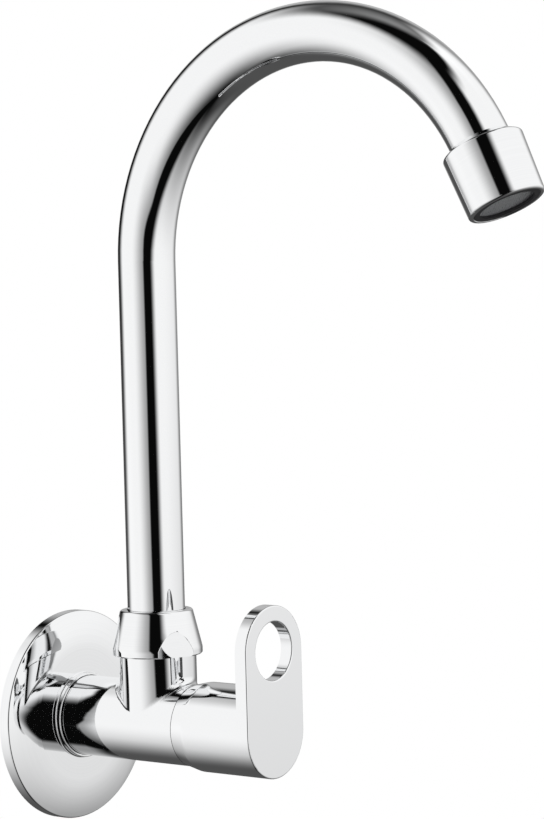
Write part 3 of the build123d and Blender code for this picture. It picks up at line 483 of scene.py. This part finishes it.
def chrome_material(name, marks, wave_size, wave_height):
    """Mirror chrome over metal with a faint waviness and fine polishing marks."""
    material, tree, shader = new_material(name)
    waves = noise(tree, object_place(tree), wave_size)
    hairlines = noise(tree, marks(tree), HAIRLINE_WIDTH, detail=4.0)
    put(tree, shader.inputs["Base Color"], shades(tree, hairlines, CHROME_DARK, CHROME_LIGHT))
    shader.inputs["Metallic"].default_value = 1.0
    put(tree, shader.inputs["Roughness"], stretch(tree, hairlines, *CHROME_ROUGHNESS))
    put(tree, shader.inputs["Normal"], bumped(tree, waves, wave_height))
    return material


def cast_chrome():
    """Chrome on polished castings."""
    return chrome_material("chrome_on_casting", object_place, wave_size=14 * MM, wave_height=0.012 * MM)


def drawn_chrome():
    """Chrome on drawn and bent tube."""
    return chrome_material("chrome_on_tube", object_place, wave_size=25 * MM, wave_height=0.010 * MM)


def turned_chrome(name, centre, axis):
    """Chrome on a turned or spun piece, with its marks round the axis."""

    def marks(tree):
        return turned_place(tree, centre, axis)

    return chrome_material(name, marks, wave_size=20 * MM, wave_height=0.006 * MM)


# Materials of the pieces inside and of the aerator
def grained_material(name, dark, light, rough, grain, height, metallic=0.0):
    """Two shades, a range of roughness and a fine bump, all from one grain of noise."""
    material, tree, shader = new_material(name)
    spots = noise(tree, object_place(tree), grain, detail=4.0)
    put(tree, shader.inputs["Base Color"], shades(tree, spots, dark, light))
    put(tree, shader.inputs["Roughness"], stretch(tree, spots, *rough))
    put(tree, shader.inputs["Normal"], bumped(tree, spots, height))
    shader.inputs["Metallic"].default_value = metallic
    return material


def brass():
    """Machined brass, a little tarnished in patches."""
    dark = (0.60, 0.41, 0.16)
    light = (0.76, 0.56, 0.26)
    rough = (0.22, 0.40)
    return grained_material(
        "bare_brass", dark, light, rough, grain=1.5 * MM, height=0.004 * MM, metallic=1.0
    )


def rubber():
    """Smooth black nitrile rubber with a faint bloom."""
    dark = (0.018, 0.018, 0.018)
    light = (0.036, 0.036, 0.037)
    rough = (0.45, 0.62)
    return grained_material("black_rubber", dark, light, rough, grain=0.6 * MM, height=0.006 * MM)


def nylon():
    """Moulded natural nylon."""
    dark = (0.80, 0.79, 0.73)
    light = (0.87, 0.86, 0.81)
    rough = (0.36, 0.50)
    return grained_material("white_nylon", dark, light, rough, grain=0.9 * MM, height=0.004 * MM)


def acetal():
    """Moulded grey acetal."""
    dark = (0.37, 0.39, 0.41)
    light = (0.45, 0.47, 0.49)
    rough = (0.32, 0.46)
    return grained_material("grey_plastic", dark, light, rough, grain=0.8 * MM, height=0.004 * MM)


def black_plastic():
    """Moulded black plastic with a fine satin texture."""
    dark = (0.012, 0.012, 0.013)
    light = (0.026, 0.026, 0.028)
    rough = (0.34, 0.48)
    return grained_material("black_plastic", dark, light, rough, grain=0.35 * MM, height=0.006 * MM)


def cap_plastic():
    """Silver-grey gloss plastic with fine flakes."""
    dark = (0.52, 0.53, 0.55)
    light = (0.68, 0.69, 0.71)
    rough = (0.16, 0.28)
    return grained_material(
        "cap_plastic", dark, light, rough, grain=0.12 * MM, height=0.001 * MM, metallic=0.6
    )


def red_fibre():
    """Pressed red fibre with short strands."""
    dark = (0.32, 0.07, 0.045)
    light = (0.52, 0.15, 0.10)
    rough = (0.70, 0.92)
    return grained_material("red_fibre", dark, light, rough, grain=0.5 * MM, height=0.03 * MM)


def alumina():
    """Lapped alumina with a fine speckle."""
    dark = (0.84, 0.82, 0.76)
    light = (0.90, 0.88, 0.83)
    rough = (0.10, 0.20)
    return grained_material("alumina", dark, light, rough, grain=0.2 * MM, height=0.0005 * MM)


def stainless():
    """Drawn and turned stainless steel."""
    dark = (0.47, 0.48, 0.49)
    light = (0.60, 0.61, 0.62)
    rough = (0.24, 0.38)
    return grained_material(
        "stainless", dark, light, rough, grain=0.25 * MM, height=0.001 * MM, metallic=1.0
    )


SLOT_MAKERS = {
    "bare_brass": brass,
    "black_rubber": rubber,
    "white_nylon": nylon,
    "grey_plastic": acetal,
    "black_plastic": black_plastic,
    "cap_plastic": cap_plastic,
    "red_fibre": red_fibre,
    "alumina": alumina,
    "stainless": stainless,
}


def dress(material, *nodes):
    """Give CAD nodes a material."""
    for name in nodes:
        slots = frame["nodes"][name].data.materials
        slots.clear()
        slots.append(material)


def dress_nodes(made):
    """Give every CAD node the material of its slot, and each chrome node a chrome of its own kind."""
    for subpart in frame["record"]["subparts"]:
        if subpart["material_slot"] in made:
            dress(made[subpart["material_slot"]], subpart["node"])
    outlet = sum(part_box("spout_nozzle"), Vector()) / 2
    dress(drawn_chrome(), "spout_tube")
    dress(made["cast_chrome"], "tap_body", "lever_handle")
    dress(turned_chrome("chrome_on_flange", Vector(), WALL_AXIS), "wall_flange")
    dress(turned_chrome("chrome_on_nut", RISER_FOOT, RISER_AXIS), "spout_nut")
    dress(turned_chrome("chrome_on_nozzle", outlet, OUTLET_AXIS), "spout_nozzle")


# Inlet thread: half-inch parallel pipe thread, cut into the body's plain spigot
THREAD_PITCH = 1.814 * MM
THREAD_DEPTH = 1.162 * MM
THREAD_CREST = 10.4775 * MM
THREAD_SHOULDER = -1.0 * MM
THREAD_RUNOUT = 2.5 * MM
THREAD_END = 17.0 * MM
THREAD_CHAMFER = 0.9 * MM
THREAD_ROWS_PER_PITCH = 12
SAME_PLACE = 0.01 * MM
SPIGOT_MARGIN = 0.1 * MM


def thread_radius(angle, along):
    """Radius of the thread's surface at an angle round the inlet and a distance out of the wall."""
    phase = along / THREAD_PITCH - angle / math.tau
    groove = 0.5 - 0.5 * math.cos(math.tau * phase)
    fade = min(1.0, (along - THREAD_SHOULDER) / THREAD_RUNOUT)
    chamfered = THREAD_CREST - max(0.0, along - THREAD_END + THREAD_CHAMFER)
    return min(chamfered, THREAD_CREST - THREAD_DEPTH * groove * fade)


def on_spigot_wall(places):
    """Whether a face of the body belongs to the plain outside of the inlet spigot."""
    along = [place.y for place in places]
    radii = [math.hypot(place.x, place.z) for place in places]
    lengthwise = max(along) - min(along) > SAME_PLACE
    outside = min(radii) > THREAD_CREST - THREAD_CHAMFER - SPIGOT_MARGIN
    return lengthwise and outside and min(along) > THREAD_SHOULDER - SPIGOT_MARGIN


def turn_of(place):
    """Angle of a point round the inlet's axis."""
    return math.atan2(place.x, place.z)


def bridge(first, second):
    """Triangles between two rings of (angle, point number) pairs, both sorted by angle."""
    faces = []
    one = two = 0
    while one < len(first) or two < len(second):
        next_one = first[(one + 1) % len(first)][0] + math.tau * ((one + 1) // len(first))
        next_two = second[(two + 1) % len(second)][0] + math.tau * ((two + 1) // len(second))
        here_one = first[one % len(first)][1]
        here_two = second[two % len(second)][1]
        if two == len(second) or (one < len(first) and next_one <= next_two):
            one += 1
            faces.append((here_one, first[one % len(first)][1], here_two))
        else:
            two += 1
            faces.append((here_one, second[two % len(second)][1], here_two))
    return faces


def ring_at(points, along, radius):
    """The points of a ring round the inlet, as (angle, point number) pairs sorted by angle."""
    ring = []
    for number, place in enumerate(points):
        near = abs(place.y - along) < SAME_PLACE
        if near and abs(math.hypot(place.x, place.z) - radius) < SAME_PLACE:
            ring.append((turn_of(place), number))
    return sorted(ring)


def kept_faces(source):
    """The body without the spigot's wall: points joined where faces meet, faces and corner normals."""
    points = []
    numbers = {}
    faces = []
    normals = []
    for polygon in source.polygons:
        places = [source.vertices[vertex].co for vertex in polygon.vertices]
        if on_spigot_wall(places):
            continue
        face = []
        for place in places:
            key = tuple(place)
            if key not in numbers:
                numbers[key] = len(points)
                points.append(place.copy())
            face.append(numbers[key])
        faces.append(face)
        for corner in polygon.loop_indices:
            normals.append(tuple(source.corner_normals[corner].vector))
    return points, faces, normals


def threaded_tap_body(material):
    """The body's own faces with a thread in place of the spigot's plain wall."""
    points, faces, normals = kept_faces(frame["nodes"]["tap_body"].data)
    shoulder = ring_at(points, THREAD_SHOULDER, THREAD_CREST)
    mouth = ring_at(points, THREAD_END, THREAD_CREST - THREAD_CHAMFER)
    last_row = THREAD_END - THREAD_CHAMFER / 2
    rows = round((last_row - THREAD_SHOULDER) / THREAD_PITCH * THREAD_ROWS_PER_PITCH)
    ring = shoulder
    thread_faces = []
    for row in range(1, rows + 1):
        along = THREAD_SHOULDER + (last_row - THREAD_SHOULDER) * row / rows
        above = []
        for angle, _ in shoulder:
            radius = thread_radius(angle, along)
            above.append((angle, len(points)))
            points.append(Vector((radius * math.sin(angle), along, radius * math.cos(angle))))
        for column, (_, corner) in enumerate(ring):
            after = (column + 1) % len(ring)
            thread_faces.append((corner, ring[after][1], above[after][1], above[column][1]))
        ring = above
    thread_faces.extend(bridge(ring, mouth))
    mesh = bpy.data.meshes.new("threaded_tap_body")
    mesh.from_pydata(points, [], faces + thread_faces)
    mesh.shade_smooth()
    seam = {number for _, number in shoulder + mouth}
    for edge in mesh.edges:
        edge.use_edge_sharp = seam.issuperset(edge.vertices)
    thread_corners = sum(len(face) for face in thread_faces)
    mesh.normals_split_custom_set(normals + [(0, 0, 0)] * thread_corners)
    mesh.materials.append(material)
    body = bpy.data.objects.new("threaded_tap_body", mesh)
    scene.collection.objects.link(body)
    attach(body, "body")
    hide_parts("tap_body")


# Outlet screens: two round pieces of woven wire, one behind the other
SCREEN_RADIUS = 9.65 * MM
SCREEN_WIRE = 0.16 * MM
WIRE_SIDES = 4
SCREEN_GAP = 0.45 * MM
LOWER_PITCH = 0.60 * MM
UPPER_PITCH = 0.80 * MM
UPPER_TURN = math.radians(45)
STEPS_PER_PITCH = 4


def add_wire(points, faces, centres, side, outward):
    """A four-sided wire along a line of centres, closed at both ends."""
    start = len(points)
    reach = SCREEN_WIRE / 2
    for centre in centres:
        for offset in (side, outward, -side, -outward):
            points.append(centre + reach * offset)
    last = len(points) - WIRE_SIDES
    faces.append(tuple(range(start + WIRE_SIDES - 1, start - 1, -1)))
    faces.append(tuple(range(last, last + WIRE_SIDES)))
    for ring in range(start, last, WIRE_SIDES):
        beyond = ring + WIRE_SIDES
        for corner in range(WIRE_SIDES):
            after = (corner + 1) % WIRE_SIDES
            faces.append((ring + corner, ring + after, beyond + after, beyond + corner))


def add_weave(points, faces, centre, along, aside, outward, pitch):
    """Plain weave, cut round: each wire goes over and under the ones that cross it."""
    count = int(SCREEN_RADIUS / pitch)
    for way, across, lift in ((along, aside, 1), (aside, along, -1)):
        for number in range(-count, count + 1):
            offset = number * pitch
            half = math.sqrt(SCREEN_RADIUS**2 - offset**2)
            reach = int(half / pitch * STEPS_PER_PITCH)
            if reach < STEPS_PER_PITCH:
                continue
            line = []
            for step in range(-reach, reach + 1):
                run = step * pitch / STEPS_PER_PITCH
                wave = math.cos(math.pi * (run / pitch + number))
                height = lift * SCREEN_WIRE / 2 * wave
                line.append(centre + run * way + offset * across + height * outward)
            add_wire(points, faces, line, across, outward)


def woven_outlet_screens(material):
    """Two woven screens across the mouth of the aerator, the inner one turned by 45 degrees."""
    low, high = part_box("aerator_outlet_screens")
    middle = (low + high) / 2
    level = Vector((1, 0, 0))
    upright = OUTLET_AXIS.cross(level)
    turned = math.cos(UPPER_TURN) * level + math.sin(UPPER_TURN) * upright
    points = []
    faces = []
    lower = middle + SCREEN_GAP / 2 * OUTLET_AXIS
    upper = middle - SCREEN_GAP / 2 * OUTLET_AXIS
    add_weave(points, faces, lower, level, upright, OUTLET_AXIS, LOWER_PITCH)
    add_weave(points, faces, upper, turned, OUTLET_AXIS.cross(turned), OUTLET_AXIS, UPPER_PITCH)
    mesh = bpy.data.meshes.new("woven_outlet_screens")
    mesh.from_pydata(points, [], faces)
    mesh.materials.append(material)
    screens = bpy.data.objects.new("woven_outlet_screens", mesh)
    scene.collection.objects.link(screens)
    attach(screens, "spout")
    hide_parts("aerator_outlet_screens")


make_camera()
make_world()
make_tent()
make_lamps()
make_floor()
materials = {slot: make() for slot, make in SLOT_MAKERS.items()}
materials["cast_chrome"] = cast_chrome()
dress_nodes(materials)
threaded_tap_body(materials["cast_chrome"])
woven_outlet_screens(materials["stainless"])
